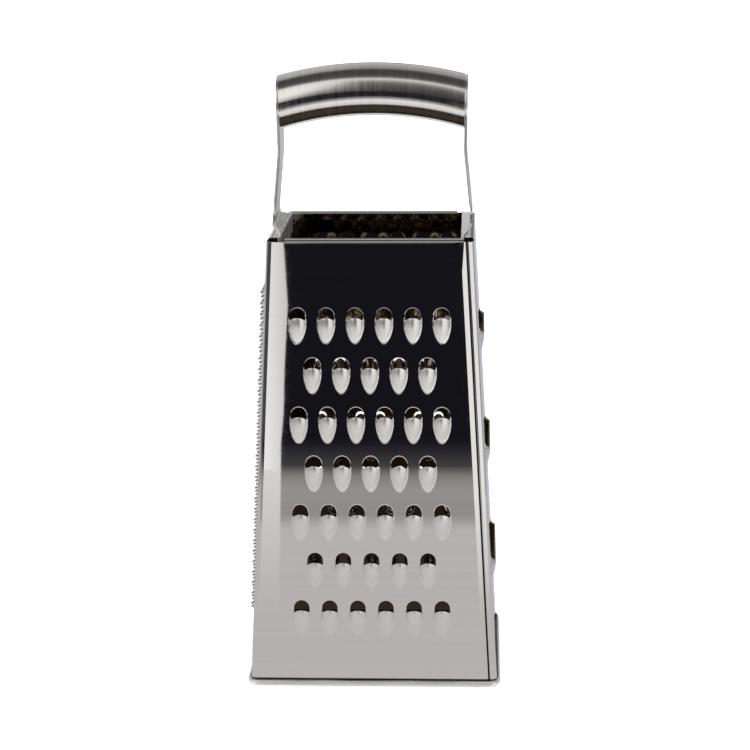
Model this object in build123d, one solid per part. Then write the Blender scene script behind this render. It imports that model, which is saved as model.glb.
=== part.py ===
from build123d import *
from math import asin, atan2, degrees, hypot
import os

# A free-standing four-sided box grater of stainless sheet, open at the top and the bottom.
# Millimetres. X runs to the right, Y to the back, Z up. The origin is the middle of the
# foot's rectangle, on the surface that the grater stands on.

# Body: outside sizes of the tapered box, at the surface it stands on and at its top
base_width = 105.3
base_depth = 85.2
top_width = 85.4
top_depth = 71.0
body_height = 191.8
sheet_thickness = 0.5
corner_radius = 2.0

# Top edge: each wall is bent inward to a narrow ledge and down again to a short lip
ledge_width = 4.4
ledge_bend_radius = 1.8
mouth_bend_radius = 0.8
lip_height = 3.4
notch_at_bend = 7.6
notch_at_seam = 4.2
notch_drop = 1.0

# Seams: each of the two sheets wraps round one corner onto the other's wall
seam_from_corner = 2.4
seam_overlap_depth = 3.0

# Base rim: a rounded strip crimped over the bottom edge of the sheets
rim_height = 2.5
rim_proud = 1.25
rim_inner_wall = 1.0
rim_corner_radius = 5.0
rim_edge_radius = 0.8
rim_floor = 0.8
rim_clearance = 0.1

# Coarse teeth on the front wall
coarse_rows = 7
coarse_long_row = 6
coarse_pitch = 11.93
coarse_row_pitch = 20.98
coarse_top_lip = 158.1
coarse_side_shift = -0.5
coarse_hole_width = 6.8
coarse_hole_height = 5.7
coarse_scoop_width = 8.4
coarse_scoop_length = 10.2
coarse_proud = 2.0

# Medium teeth on the back wall
medium_rows = 11
medium_long_row = 8
medium_pitch = 8.8
medium_row_pitch = 13.0
medium_top_lip = 161.0
medium_side_shift = 0.0
medium_hole_width = 4.6
medium_hole_height = 3.6
medium_scoop_width = 5.6
medium_scoop_length = 6.8
medium_proud = 1.5

# Scoops are cone shells that sink into the sheet at their lower end
scoop_tip_share = 0.26

# Slicing blades on the right wall
blade_count = 3
blade_top_edge = 149.3
blade_pitch = 49.4
blade_top_length = 39.0
blade_length_step = 6.0
blade_gap = 3.6
blade_proud = 1.6
blade_fall = 9.0
blade_ramp = 4.0
blade_gap_end_radius = 1.0
blade_belly_shares = (0.82, 0.5)

# Fine burrs on the left wall
burr_columns = 25
burr_rows = 30
burr_column_pitch = 2.85
burr_pitch = 4.7
burr_top = 169.3
burr_proud = 2.1
burr_root_width = 1.8
burr_tip_width = 0.7

# Straps: strip that carries the grip, bent in and welded to the lips inside the side walls
strap_thickness = 1.2
strap_width = 20.0
strap_foot_height = 8.0
strap_low_fold_rise = 0.3
strap_high_fold_rise = 2.5
strap_fold_radius = 1.2
strap_shoulder_rise = 7.4
strap_shoulder_inset = 1.4
strap_shoulder_radius = 30.0
strap_waist_rise = 32.4
strap_waist_inset = 3.8
strap_waist_radius = 40.0
strap_top_inset = 3.3
strap_flare_rise = 11.0
strap_end_clearance = 0.3
strap_foot_corner_radius = 3.0

# Grip: a bowed tube whose ends are closed by the straps
grip_diameter = 22.0
grip_wall = 1.0
grip_end_height = 244.2
grip_rise = 5.2
grip_swing_share = 1.3

# Spare length of every cut and of every trimmed blank
overrun = 2.0


def half_width(height):
    share = height / body_height
    return (base_width + (top_width - base_width) * share) / 2


def half_depth(height):
    share = height / body_height
    return (base_depth + (top_depth - base_depth) * share) / 2


def trapezium(half_at, low, high, inset):
    low_half = half_at(low) - inset
    high_half = half_at(high) - inset
    points = [(-low_half, low), (low_half, low), (high_half, high), (-high_half, high)]
    return make_face(Polyline(*points, close=True))


def tapered_block(low, high, inset, radius):
    """Solid between two heights, with the body's leaning sides moved in by inset, and round uprights."""
    front_view = Plane(origin=(0, 0, 0), x_dir=(1, 0, 0), z_dir=(0, -1, 0))
    side_view = Plane(origin=(0, 0, 0), x_dir=(0, 1, 0), z_dir=(1, 0, 0))
    across = extrude(front_view * trapezium(half_width, low, high, inset), base_depth, both=True)
    along = extrude(side_view * trapezium(half_depth, low, high, inset), base_width, both=True)
    block = across & along
    uprights = block.edges().group_by(Axis.Z)[1]
    return fillet(uprights, radius)


def mouth_column(low, high, inset):
    plan = Rectangle(top_width - 2 * inset, top_depth - 2 * inset)
    return Pos(0, 0, low) * extrude(plan, high - low)


def round_top(block, radius):
    return fillet(block.edges().group_by(Axis.Z)[-1], radius)


def body_shell():
    """Four walls with the ledge and lip along their top, before they are parted into two sheets."""
    outer = tapered_block(rim_floor, body_height, 0, corner_radius)
    outer = round_top(outer, ledge_bend_radius)
    inner_radius = corner_radius - sheet_thickness
    inner = tapered_block(rim_floor - overrun, body_height - sheet_thickness, sheet_thickness, inner_radius)
    inner = round_top(inner, ledge_bend_radius - sheet_thickness)
    lip_low = body_height - lip_height
    inner -= mouth_column(lip_low, body_height, ledge_width - sheet_thickness)
    shell = outer - inner - mouth_column(lip_low - overrun, body_height, ledge_width)
    ledge = shell.faces().sort_by(Axis.Z)[-1]
    return shell.fillet(mouth_bend_radius, ledge.inner_wires()[0].edges())


def corner_notch(side, end, along_x, along_y):
    """Relief cut through the ledge and lip at one corner, with the wall's raw edge a little lower."""
    x_outer = top_width / 2
    y_outer = top_depth / 2
    low = body_height - notch_drop
    whole_size = (along_x + overrun, along_y + overrun, notch_drop + overrun)
    whole = Pos(side * (x_outer - along_x), end * (y_outer - along_y), low) * corner_box(side, end, whole_size)
    deep = body_height - lip_height - overrun
    inner_size = (along_x - ledge_bend_radius, along_y - ledge_bend_radius, low - deep + sheet_thickness)
    inner = Pos(side * (x_outer - along_x), end * (y_outer - along_y), deep) * corner_box(side, end, inner_size)
    return whole + inner


def corner_box(side, end, size):
    x_align = Align.MIN if side > 0 else Align.MAX
    y_align = Align.MIN if end > 0 else Align.MAX
    return Box(*size, align=(x_align, y_align, Align.MIN))


def notched_shell():
    shell = body_shell()
    for side in (-1, 1):
        seam_corner = side < 0
        back_x = notch_at_seam if seam_corner else notch_at_bend
        front_x = notch_at_bend if seam_corner else notch_at_seam
        shell -= corner_notch(side, 1, back_x, notch_at_bend)
        shell -= corner_notch(side, -1, front_x, notch_at_bend)
    return shell


def sheet_region_outline(height):
    """Plan of the space that holds the front and left walls, up to the two seams."""
    seam_x = half_width(height) - seam_from_corner
    outer_x = half_width(height) + overrun
    inner_y = half_depth(height) - seam_overlap_depth
    outer_y = half_depth(height) + overrun
    points = [(-outer_x, -outer_y), (seam_x, -outer_y), (seam_x, -inner_y)]
    points += [(-seam_x, inner_y), (-seam_x, outer_y), (-outer_x, outer_y)]
    return Pos(0, 0, height) * make_face(Polyline(*points, close=True))


def sheet_region():
    return loft([sheet_region_outline(0), sheet_region_outline(body_height + overrun)], ruled=True)


def front_plane():
    lean = (base_depth - top_depth) / 2 / body_height
    return Plane(origin=(0, -base_depth / 2, 0), x_dir=(1, 0, 0), z_dir=(0, -1, lean))


def back_plane():
    lean = (base_depth - top_depth) / 2 / body_height
    return Plane(origin=(0, base_depth / 2, 0), x_dir=(-1, 0, 0), z_dir=(0, 1, lean))


def right_plane():
    lean = (base_width - top_width) / 2 / body_height
    return Plane(origin=(base_width / 2, 0, 0), x_dir=(0, 1, 0), z_dir=(1, 0, lean))


def left_plane():
    lean = (base_width - top_width) / 2 / body_height
    return Plane(origin=(-base_width / 2, 0, 0), x_dir=(0, -1, 0), z_dir=(-1, 0, lean))


def scoop_cone(width, length, proud, shrink, spare):
    """Cone whose upper side stands out of the sheet, from the lip at v = 0 down to its tip."""
    lip_radius = (width ** 2 / 4 + proud ** 2) / (2 * proud)
    lip_depth = lip_radius - proud
    tip_radius = lip_radius * scoop_tip_share
    fall = hypot(length, lip_depth - tip_radius)
    taper = (lip_radius - tip_radius) / fall
    top_radius = lip_radius + taper * spare - shrink
    cone = Cone(tip_radius - shrink, top_radius, fall + spare, align=(Align.CENTER, Align.CENTER, Align.MIN))
    axis_plane = Plane(origin=(0, -length, -tip_radius), x_dir=(1, 0, 0), z_dir=(0, length, tip_radius - lip_depth))
    return axis_plane * cone


def tooth(width, length, proud, hole_width, hole_height):
    """The raised scoop of one tooth, and what is cut away: its underside and the hole above its lip."""
    tall = proud + sheet_thickness + 2 * overrun
    reach = length + overrun
    block = Box(2 * width, 2 * reach, tall, align=(Align.CENTER, Align.CENTER, Align.MIN))
    above_inner_face = Pos(0, 0, -sheet_thickness) * block
    from_inside = Pos(0, 0, -sheet_thickness - overrun) * block
    raised = scoop_cone(width, length, proud, 0, 0) & above_inner_face
    hollow = scoop_cone(width, length, proud, sheet_thickness, sheet_thickness) & from_inside
    hole_radius = hole_width / 2
    side = hole_height - hole_radius
    straight = Pos(0, side / 2) * Rectangle(hole_width, side)
    hole = straight + Pos(0, side) * Circle(hole_radius)
    hole = Pos(0, 0, -sheet_thickness - overrun) * extrude(hole, sheet_thickness + overrun)
    return raised, hollow + hole


def staggered_places(rows, long_row, pitch, row_pitch, top, shift):
    places = []
    for row in range(rows):
        count = long_row - row % 2
        for place in range(count):
            u = shift + (place - (count - 1) / 2) * pitch
            places.append((u, top - row * row_pitch))
    return places


def punch_teeth(sheet, plane, places, shapes):
    raised, cut = shapes
    scoops = [plane * Pos(u, v, 0) * raised for u, v in places]
    cuts = [plane * Pos(u, v, 0) * cut for u, v in places]
    return sheet.fuse(*scoops).cut(*cuts)


def blade_side(proud, fall):
    """Side view of the swelling under a blade: full height at the edge, rounding off to the sheet."""
    out_share, down_share = blade_belly_shares
    edge = Line((0, 0), (0, proud))
    belly = ThreePointArc((0, proud), (-fall * down_share, proud * out_share), (-fall, 0))
    return make_face([edge, belly, Line((-fall, 0), (0, 0))])


def blade_swelling(length, proud, fall, ramp, root):
    """Swelling with ramped ends, its root sunk below the sheet's face so that the two join."""
    side_plane = Plane(origin=(-length / 2 - ramp, 0, 0), x_dir=(0, 1, 0), z_dir=(1, 0, 0))
    belly = extrude(side_plane * blade_side(proud, fall), length + 2 * ramp)
    foot = Box(length + 2 * ramp, fall, root, align=(Align.CENTER, Align.MAX, Align.MAX))
    half = length / 2
    slope = ramp / proud
    low = half + ramp + root * slope
    plan = Polyline((-low, -root), (low, -root), (half, proud), (-half, proud), close=True)
    ends_plane = Plane(origin=(0, 0, 0), x_dir=(1, 0, 0), z_dir=(0, -1, 0))
    ends = extrude(ends_plane * make_face(plan), fall)
    return (belly + foot) & ends


def blade_shapes(length):
    """The raised blade, and what is cut away: its underside and the gap in front of its edge."""
    t = sheet_thickness
    raised = blade_swelling(length, blade_proud, blade_fall, blade_ramp, t)
    inner_ramp = blade_ramp * (blade_proud - t) / blade_proud
    hollow = blade_swelling(length, blade_proud - t, blade_fall - t, inner_ramp, t + overrun)
    gap = RectangleRounded(length, blade_gap + t, blade_gap_end_radius)
    gap = Pos(0, (blade_gap - t) / 2, -t - overrun) * extrude(gap, t + overrun + blade_proud - t)
    return raised, hollow, gap


def punch_blades(sheet):
    plane = right_plane()
    scoops = []
    cuts = []
    for number in range(blade_count):
        raised, hollow, gap = blade_shapes(blade_top_length + number * blade_length_step)
        place = plane * Pos(0, blade_top_edge - number * blade_pitch, 0)
        scoops.append(place * raised)
        cuts += [place * hollow, place * gap]
    return sheet.fuse(*scoops).cut(*cuts)


def burr_places():
    places = []
    for column in range(burr_columns):
        u = (column - (burr_columns - 1) / 2) * burr_column_pitch
        drop = column % 2 * burr_pitch / 2
        places += [(u, burr_top - drop - row * burr_pitch) for row in range(burr_rows)]
    return places


def punch_burrs(sheet):
    """Field of small four-sided points, each column set half a step off its neighbour."""
    plane = left_plane()
    root_depth = sheet_thickness / 2
    height = burr_proud + root_depth
    lean = degrees(atan2((burr_root_width - burr_tip_width) / 2, height))
    root = RegularPolygon(burr_root_width / 2, 4, major_radius=False)
    raised = extrude(root, height, taper=lean)
    return sheet.fuse(*[plane * Pos(u, v, -root_depth) * raised for u, v in burr_places()])


def coarse_and_fine_sheet(shell):
    """Sheet with the coarse teeth in front and the fine burrs on the left."""
    places = staggered_places(coarse_rows, coarse_long_row, coarse_pitch, coarse_row_pitch,
                              coarse_top_lip, coarse_side_shift)
    shapes = tooth(coarse_scoop_width, coarse_scoop_length, coarse_proud,
                   coarse_hole_width, coarse_hole_height)
    sheet = punch_teeth(shell & sheet_region(), front_plane(), places, shapes)
    return punch_burrs(sheet)


def slicing_and_medium_sheet(shell):
    """Sheet with the slicing blades on the right and the medium teeth behind."""
    places = staggered_places(medium_rows, medium_long_row, medium_pitch, medium_row_pitch,
                              medium_top_lip, medium_side_shift)
    shapes = tooth(medium_scoop_width, medium_scoop_length, medium_proud,
                   medium_hole_width, medium_hole_height)
    sheet = punch_blades(shell - sheet_region())
    return punch_teeth(sheet, back_plane(), places, shapes)


def base_rim():
    """Rounded strip round the foot, with a groove that takes the sheets' bottom edge."""
    width = base_width + 2 * rim_proud
    depth = base_depth + 2 * rim_proud
    rim = extrude(RectangleRounded(width, depth, rim_corner_radius), rim_height)
    edges = rim.edges().group_by(Axis.Z)
    rim = fillet(edges[0] + edges[-1], rim_edge_radius)
    band = rim_proud + sheet_thickness + rim_clearance + rim_inner_wall
    hole = RectangleRounded(width - 2 * band, depth - 2 * band, rim_corner_radius - band)
    rim -= Pos(0, 0, -overrun) * extrude(hole, rim_height + 2 * overrun)
    groove_top = rim_height + overrun
    groove = tapered_block(rim_floor, groove_top, -rim_clearance, corner_radius + rim_clearance)
    tongue_inset = sheet_thickness + rim_clearance
    groove -= tapered_block(rim_floor, groove_top, tongue_inset, corner_radius - tongue_inset)
    return rim - groove


def strap_path_points():
    """Middle line of the right strap seen from the front, from above its head down to its foot."""
    outer = top_width / 2
    foot_x = outer - ledge_width - strap_thickness / 2
    shoulder_x = outer - strap_shoulder_inset
    waist = (outer - strap_waist_inset, body_height + strap_waist_rise)
    top = (outer - strap_top_inset, grip_end_height + grip_diameter / 2)
    lean = (top[0] - waist[0]) / (top[1] - waist[1])
    head = (top[0] + lean * overrun, top[1] + overrun)
    return [head, waist, (shoulder_x, body_height + strap_shoulder_rise),
            (shoulder_x, body_height + strap_high_fold_rise),
            (foot_x, body_height + strap_low_fold_rise),
            (foot_x, body_height - strap_foot_height)]


def strap_inner_x(height):
    head, waist = strap_path_points()[:2]
    lean = (head[0] - waist[0]) / (head[1] - waist[1])
    middle = waist[0] + lean * (height - waist[1])
    return middle - strap_thickness / 2 * hypot(1, lean)


def strap_outline():
    """Strap seen from the side: round head, straight neck and a foot as wide as the mouth."""
    neck = strap_width / 2
    foot = top_depth / 2 - ledge_width - strap_end_clearance
    flare_top = body_height + strap_flare_rise
    flare_low = body_height + strap_low_fold_rise
    foot_low = body_height - strap_foot_height
    left_flare = Bezier((-neck, flare_top), (-neck, flare_low), (-foot, flare_low))
    right_flare = Bezier((foot, flare_low), (neck, flare_low), (neck, flare_top))
    lines = [Line((neck, grip_end_height), (-neck, grip_end_height)),
             Line((-neck, grip_end_height), (-neck, flare_top)), left_flare,
             Line((-foot, flare_low), (-foot, foot_low)), Line((-foot, foot_low), (foot, foot_low)),
             Line((foot, foot_low), (foot, flare_low)), right_flare,
             Line((neck, flare_top), (neck, grip_end_height))]
    blade = make_face(lines)
    low_corners = blade.vertices().group_by(Axis.Y)[0]
    blade = fillet(low_corners, strap_foot_corner_radius)
    return blade + Pos(0, grip_end_height) * Circle(grip_diameter / 2)


def right_strap():
    radii = [strap_waist_radius, strap_shoulder_radius, strap_fold_radius, strap_fold_radius]
    path = FilletPolyline(*strap_path_points(), radius=radii)
    ribbon = make_face(path.offset_2d(strap_thickness / 2, side=Side.BOTH).edges())
    front_view = Plane(origin=(0, top_depth / 2, 0), x_dir=(1, 0, 0), z_dir=(0, -1, 0))
    bent = extrude(front_view * ribbon, top_depth)
    side_view = Plane(origin=(0, 0, 0), x_dir=(0, 1, 0), z_dir=(1, 0, 0))
    blank = extrude(side_view * strap_outline(), top_width)
    return bent & blank


def grip_tube():
    """Bowed tube, trimmed to the inner faces of the straps' heads."""
    half_chord = strap_inner_x(grip_end_height)
    bow_radius = (half_chord ** 2 + grip_rise ** 2) / (2 * grip_rise)
    top = grip_end_height + grip_rise
    bow_axis = Axis((0, 0, top - bow_radius), (0, 1, 0))
    ring = Circle(grip_diameter / 2) - Circle(grip_diameter / 2 - grip_wall)
    ring = Plane(origin=(0, 0, top), x_dir=(0, 1, 0), z_dir=(1, 0, 0)) * ring
    swing = degrees(asin(half_chord / bow_radius)) * grip_swing_share
    tube = revolve(ring.rotate(bow_axis, -swing), bow_axis, 2 * swing)
    low = grip_end_height - grip_diameter
    high = grip_end_height + grip_diameter
    corners = [(-strap_inner_x(low), low), (strap_inner_x(low), low),
               (strap_inner_x(high), high), (-strap_inner_x(high), high)]
    front_view = Plane(origin=(0, grip_diameter, 0), x_dir=(1, 0, 0), z_dir=(0, -1, 0))
    return tube & extrude(front_view * make_face(Polyline(*corners, close=True)), 2 * grip_diameter)


def build_parts():
    shell = notched_shell()
    strap = right_strap()
    return {
        "coarse_and_fine_sheet": coarse_and_fine_sheet(shell),
        "slicing_and_medium_sheet": slicing_and_medium_sheet(shell),
        "base_rim": base_rim(),
        "right_strap": strap,
        "left_strap": mirror(strap, Plane.YZ),
        "grip_tube": grip_tube(),
    }


os.makedirs("parts", exist_ok=True)
for node, part in build_parts().items():
    export_step(part, f"parts/{node}.step")
    print(node, len(part.solids()), "solid", round(part.volume), "cubic mm")
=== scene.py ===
import math

import bmesh
import bpy
from mathutils import Matrix, Vector
from mathutils.geometry import delaunay_2d_cdt


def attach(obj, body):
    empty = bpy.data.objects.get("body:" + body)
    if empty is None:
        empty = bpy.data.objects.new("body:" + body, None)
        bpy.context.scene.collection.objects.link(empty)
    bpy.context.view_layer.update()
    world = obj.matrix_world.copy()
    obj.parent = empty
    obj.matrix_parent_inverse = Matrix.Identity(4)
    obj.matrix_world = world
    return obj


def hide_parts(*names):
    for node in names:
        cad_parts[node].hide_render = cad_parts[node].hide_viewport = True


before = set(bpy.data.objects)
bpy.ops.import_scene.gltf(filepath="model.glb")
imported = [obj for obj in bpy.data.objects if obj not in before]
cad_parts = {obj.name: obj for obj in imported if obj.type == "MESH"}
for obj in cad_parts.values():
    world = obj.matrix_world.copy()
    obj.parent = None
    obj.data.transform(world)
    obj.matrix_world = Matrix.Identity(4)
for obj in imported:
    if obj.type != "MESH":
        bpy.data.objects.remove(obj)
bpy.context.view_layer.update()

# Box grater of stainless sheet. Sizes below are in millimetres, in the part's own frame:
# X to the right, Y to the back, Z up, the origin in the middle of the foot.
MM = 0.001

BASE_WIDTH, BASE_DEPTH = 105.3, 85.2
TOP_WIDTH, TOP_DEPTH = 85.4, 71.0
BODY_HEIGHT = 191.8
FOOT_HEIGHT = 0.8
SHEET_THICKNESS = 0.5
CORNER_RADIUS = 2.0

FLAT_BY_BEND = 0.4
LEDGE_WIDTH = 4.4
LEDGE_BEND_RADIUS = 1.8
MOUTH_BEND_RADIUS = 0.8
LIP_HEIGHT = 3.4
RAW_EDGE_HEIGHT = 190.8
NOTCH_AT_BEND = 7.6
NOTCH_AT_SEAM = 4.2
NOTCH_AT_SIDE = 5.3

SEAM_FROM_CORNER = 2.9
TONGUE_START = 5.8

# Edge of the sheet that runs on under the flap: distance from the corner, and how far out of the wall
TONGUE_PROFILE = [(TONGUE_START, 0.0), (5.5, -0.002), (5.2, -0.012), (4.9, -0.032), (4.6, -0.064),
                  (4.35, -0.100), (4.1, -0.145), (3.9, -0.190), (3.75, -0.235), (3.6, -0.32),
                  (3.5, -0.45), (3.4, -0.55), (3.2, -0.6), (1.9, -0.6)]

# Edge of the flap: distance back from its end, and how far it is turned in
FLAP_EDGE = [(0.0, 0.1), (0.07, 0.03), (0.2, 0.0)]

# The seam's narrow gap, painted dark as shade: depth under the wall's skin, and distance from the corner
GAP_DEPTH = (0.3, 1.3)
GAP_FROM_CORNER = (1.5, 3.65)

RIM_HEIGHT = 2.5
RIM_PROUD = 1.25
RIM_ROUNDING = 0.8
RIM_CORNER_RADIUS = 5.6
SMALLEST_RIM_CORNER = 0.6

STRAP_THICKNESS = 1.2
STRAP_NECK_HALF = 10.0
STRAP_FOOT_DEPTH = 8.0
STRAP_FOOT_CORNER = 3.0
STRAP_FLARE_HEIGHT = 11.0
STRAP_CLEARANCE = 0.3
STRAP_BEND_RADII = [40.0, 30.0, 1.2, 1.2]
STRAP_LONGEST_STEP = 1.2
STRAP_HEAD_GAP = 0.2
STRAP_WORN_EDGE = 0.2

# The strap's middle line: distances in from the body's top edge, and rises over the body
STRAP_SHOULDER_IN, STRAP_WAIST_IN, STRAP_HEAD_IN = 1.4, 3.8, 3.3
STRAP_SHOULDER_RISES = (7.4, 2.5)
STRAP_WAIST_RISE = 32.4

GRIP_DIAMETER = 22.0
GRIP_END_HEIGHT = 244.2
GRIP_RISE = 5.2
GRIP_WALL = 1.0

# Directions in which the four walls face, going round the body
FACINGS = {"front": (0, -1), "right": (1, 0), "back": (0, 1), "left": (-1, 0)}

# Distances at which the mesh work merges points and drops short edges
MERGE_DISTANCE = 0.006
SHORTEST_EDGE = 0.0005


# Body geometry shared by the walls, bends and ledges

def half_width(z):
    return (BASE_WIDTH + (TOP_WIDTH - BASE_WIDTH) * z / BODY_HEIGHT) / 2


def half_depth(z):
    return (BASE_DEPTH + (TOP_DEPTH - BASE_DEPTH) * z / BODY_HEIGHT) / 2


class Wall:
    """One leaning wall's own coordinates: u along it, v up its slope, w out of it."""

    def __init__(self, facing):
        x, y = FACINGS[facing]
        self.level = Vector((x, y, 0))
        self.front_or_back = y != 0
        foot, head = (BASE_DEPTH, TOP_DEPTH) if self.front_or_back else (BASE_WIDTH, TOP_WIDTH)
        self.head = head
        self.out = Vector((x, y, (foot - head) / 2 / BODY_HEIGHT)).normalized()
        self.across = Vector((-y, x, 0))
        self.up = self.out.cross(self.across)
        self.origin = self.level * foot / 2

    def place(self, u, v, w=0.0):
        return self.origin + self.across * u + self.up * v + self.out * w

    def measure(self, place):
        """How far a place lies along the wall and out of it."""
        return (place - self.origin).dot(self.across), (place - self.origin).dot(self.out)

    def slope_at(self, z, w=0.0):
        return (z - w * self.out.z) / self.up.z

    def half_length(self, z):
        return half_width(z) if self.front_or_back else half_depth(z)

    def distance_out(self, z):
        return half_depth(z) if self.front_or_back else half_width(z)


WALLS = {facing: Wall(facing) for facing in FACINGS}


class Skin:
    """Outer skin of a sheet, gathered patch by patch in millimetres."""

    def __init__(self):
        self.points = []
        self.faces = []

    def add(self, points, faces):
        start = len(self.points)
        self.points += [Vector(p) for p in points]
        self.faces += [tuple(start + i for i in face) for face in faces]

    def add_grid(self, rows, outward):
        """Quads between rows of points, turned so that on the whole they face outward."""
        count = len(rows[0])
        points = [Vector(p) for row in rows for p in row]
        faces = []
        for r in range(len(rows) - 1):
            for c in range(count - 1):
                a = r * count + c
                faces.append((a, a + 1, a + count + 1, a + count))
        total = 0.0
        for a, b, c, d in faces:
            normal = (points[c] - points[a]).cross(points[d] - points[b])
            total += normal.dot(outward(points[a]) if callable(outward) else outward)
        if total < 0:
            faces = [tuple(reversed(face)) for face in faces]
        self.add(points, faces)


def loop_faces(loops, count, closed=False):
    """Quads between loops of points; closed joins the last loop to the first."""
    faces = []
    for r in range(loops if closed else loops - 1):
        after = (r + 1) % loops * count
        for c in range(count):
            beside = (c + 1) % count
            faces.append((r * count + c, r * count + beside, after + beside, after + c))
    return faces


def new_mesh_object(name, points, faces, merge=MERGE_DISTANCE):
    mesh = bpy.data.meshes.new(name)
    mesh.from_pydata([p * MM for p in points], [], faces)
    made = bmesh.new()
    made.from_mesh(mesh)
    bmesh.ops.remove_doubles(made, verts=made.verts, dist=merge * MM)
    bmesh.ops.dissolve_degenerate(made, edges=made.edges, dist=SHORTEST_EDGE * MM)
    loose = [v for v in made.verts if not v.link_faces]
    bmesh.ops.delete(made, geom=loose, context="VERTS")
    made.to_mesh(mesh)
    made.free()
    thing = bpy.data.objects.new(name, mesh)
    bpy.context.scene.collection.objects.link(thing)
    return thing


def bake_modifiers(thing):
    """Turns the object's modified shape into its own plain mesh."""
    depsgraph = bpy.context.evaluated_depsgraph_get()
    mesh = bpy.data.meshes.new_from_object(thing.evaluated_get(depsgraph), depsgraph=depsgraph)
    old = thing.data
    thing.modifiers.clear()
    thing.data = mesh
    mesh.name = thing.name
    bpy.data.meshes.remove(old)


def smooth_surfaces(thing, degrees):
    thing.data.shade_smooth()
    thing.data.set_sharp_from_angle(angle=math.radians(degrees))


def set_marks(thing, name, marks):
    attribute = thing.data.attributes.new(name, "FLOAT", "POINT")
    attribute.data.foreach_set("value", marks)


def thicken(thing, thickness):
    """Gives the skin its thickness inward, and marks the new inner skin, on which the polished finish paints
    a darker shade.
    """
    skin_count = len(thing.data.vertices)
    solid = thing.modifiers.new("sheet thickness", "SOLIDIFY")
    solid.thickness = thickness * MM
    solid.offset = -1.0
    bake_modifiers(thing)
    set_marks(thing, "inner_skin", [0.0 if k < skin_count else 1.0 for k in range(len(thing.data.vertices))])


def mark_pressed(thing, facings):
    """Marks how far each point is pressed out of its flat wall, up to one millimetre."""
    least = 0.05
    marks = []
    for vertex in thing.data.vertices:
        place = vertex.co / MM
        best = 0.0
        for facing in facings:
            along, out = WALLS[facing].measure(place)
            if abs(along) < WALLS[facing].half_length(place.z) - SEAM_FROM_CORNER and out > least:
                best = max(best, out)
        marks.append(min(1.0, best))
    set_marks(thing, "pressed_out", marks)


def mark_seam_shade(thing, facing):
    """Marks the narrow gap beside the flap, which no light reaches, where the finish paints shade."""
    wall = WALLS[facing]
    marks = []
    for vertex in thing.data.vertices:
        place = vertex.co / MM
        along, out = wall.measure(place)
        back = wall.half_length(place.z) - along
        in_gap = GAP_DEPTH[0] < -out < GAP_DEPTH[1] and GAP_FROM_CORNER[0] < back < GAP_FROM_CORNER[1]
        marks.append(1.0 if in_gap else 0.0)
    set_marks(thing, "seam_gap", marks)


def smooth_step(share):
    share = min(1.0, max(0.0, share))
    return share * share * (3 - 2 * share)


# Pierced shapes: rings of faces from the edge of a hole out to the flat sheet

LAST_RAISED_RING = 0.965
ROLL_FADE = 1.4


def ring_cell(inner, outer, rings, height, lean, roll=lambda v: 0.0, crowd=1.0):
    """Points and faces between a hole's edge and a flat outline.

    height(u, v) raises them, roll(v) sinks the hole's edge, and crowd draws the rings nearer to it.
    """
    count = len(inner)
    points = []
    for ring in range(rings + 1):
        share = LAST_RAISED_RING * (ring / (rings - 1)) ** crowd if ring < rings else 1.0
        for (a_u, a_v), (b_u, b_v) in zip(inner, outer):
            u = a_u + (b_u - a_u) * share
            v = a_v + (b_v - a_v) * share
            w = height(u, v)
            sunk = roll(a_v) * max(0.0, 1 - share * ROLL_FADE) ** 2
            points.append((u, v + lean * w * (1 - share), w - sunk))
    return points, [(a, d, c, b) for a, b, c, d in loop_faces(rings + 1, count)]


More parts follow.
